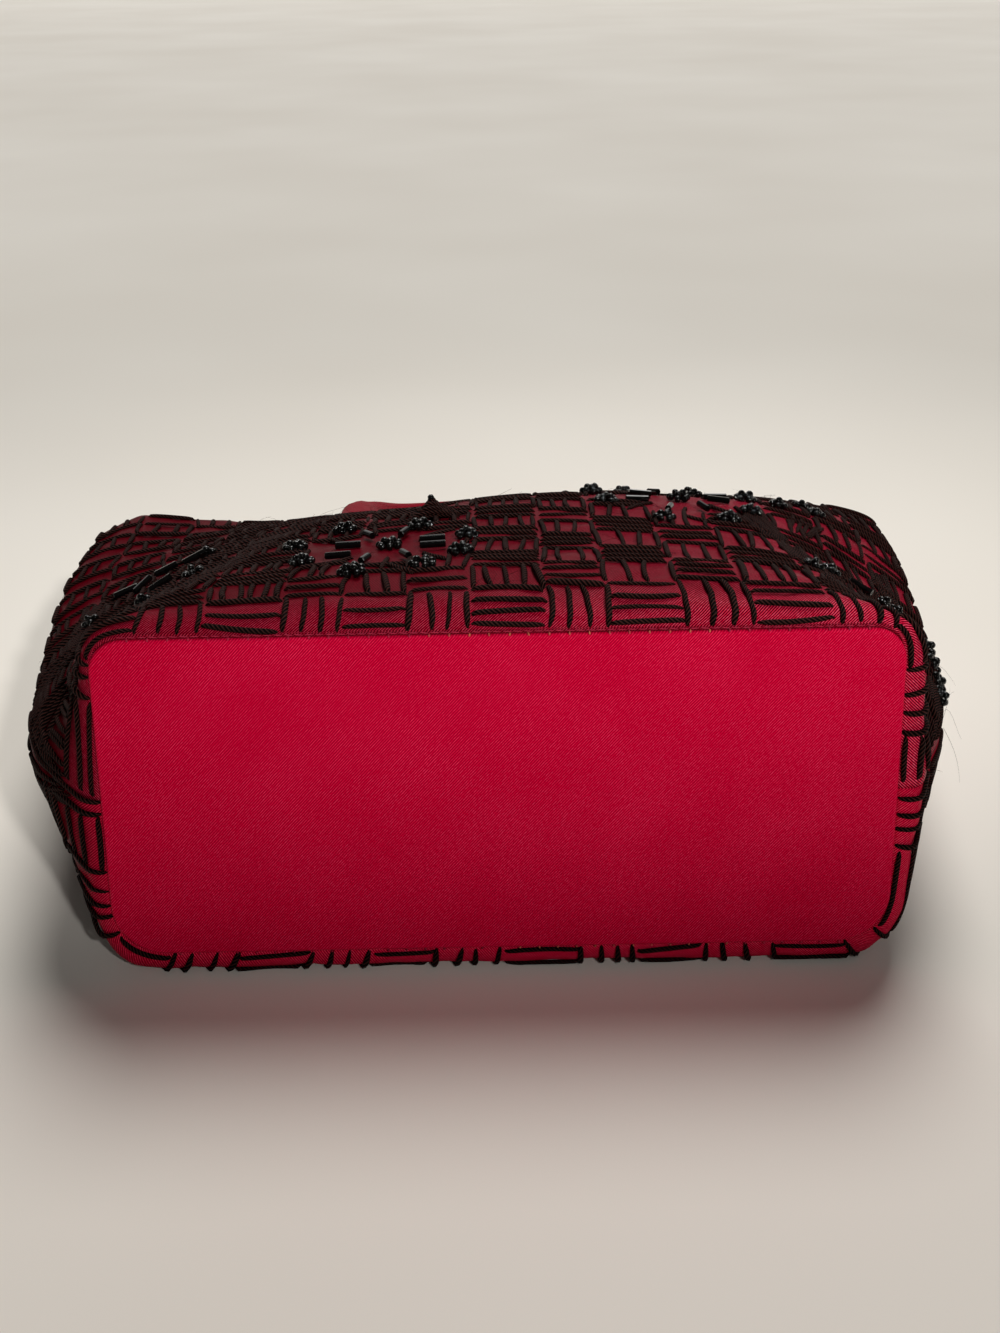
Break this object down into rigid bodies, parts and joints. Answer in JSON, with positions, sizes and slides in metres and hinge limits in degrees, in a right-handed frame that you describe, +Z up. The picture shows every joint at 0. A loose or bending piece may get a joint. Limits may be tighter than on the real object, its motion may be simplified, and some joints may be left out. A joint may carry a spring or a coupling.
{
  "type": "evening satchel",
  "caption": "Soft evening satchel of embroidered satin lying on its back panel, with a stiff oblong base, an open mouth and a rolled carrying handle.",
  "frame": {"origin": "middle of the underside of the bag's box, on the surface that it lies on", "axes": "+Z up from that surface, +Y from the stiff base to the mouth and the handle, +X to the right seen from the base"},
  "size_m": [0.257, 0.3024, 0.0918],
  "materials": {
    "embroidered_satin": "crimson satin under black stitching",
    "base_satin": "crimson twill satin",
    "handle_satin": "crimson satin",
    "black_thread": "twisted black cotton",
    "gold_thread": "fine topstitching",
    "jet_bead": "polished black beads"
  },
  "bodies": {
    "root": {"front_panel": "embroidered_satin", "back_panel": "embroidered_satin", "base_panel": "base_satin", "handle": "handle_satin"}
  },
  "joints": []
}
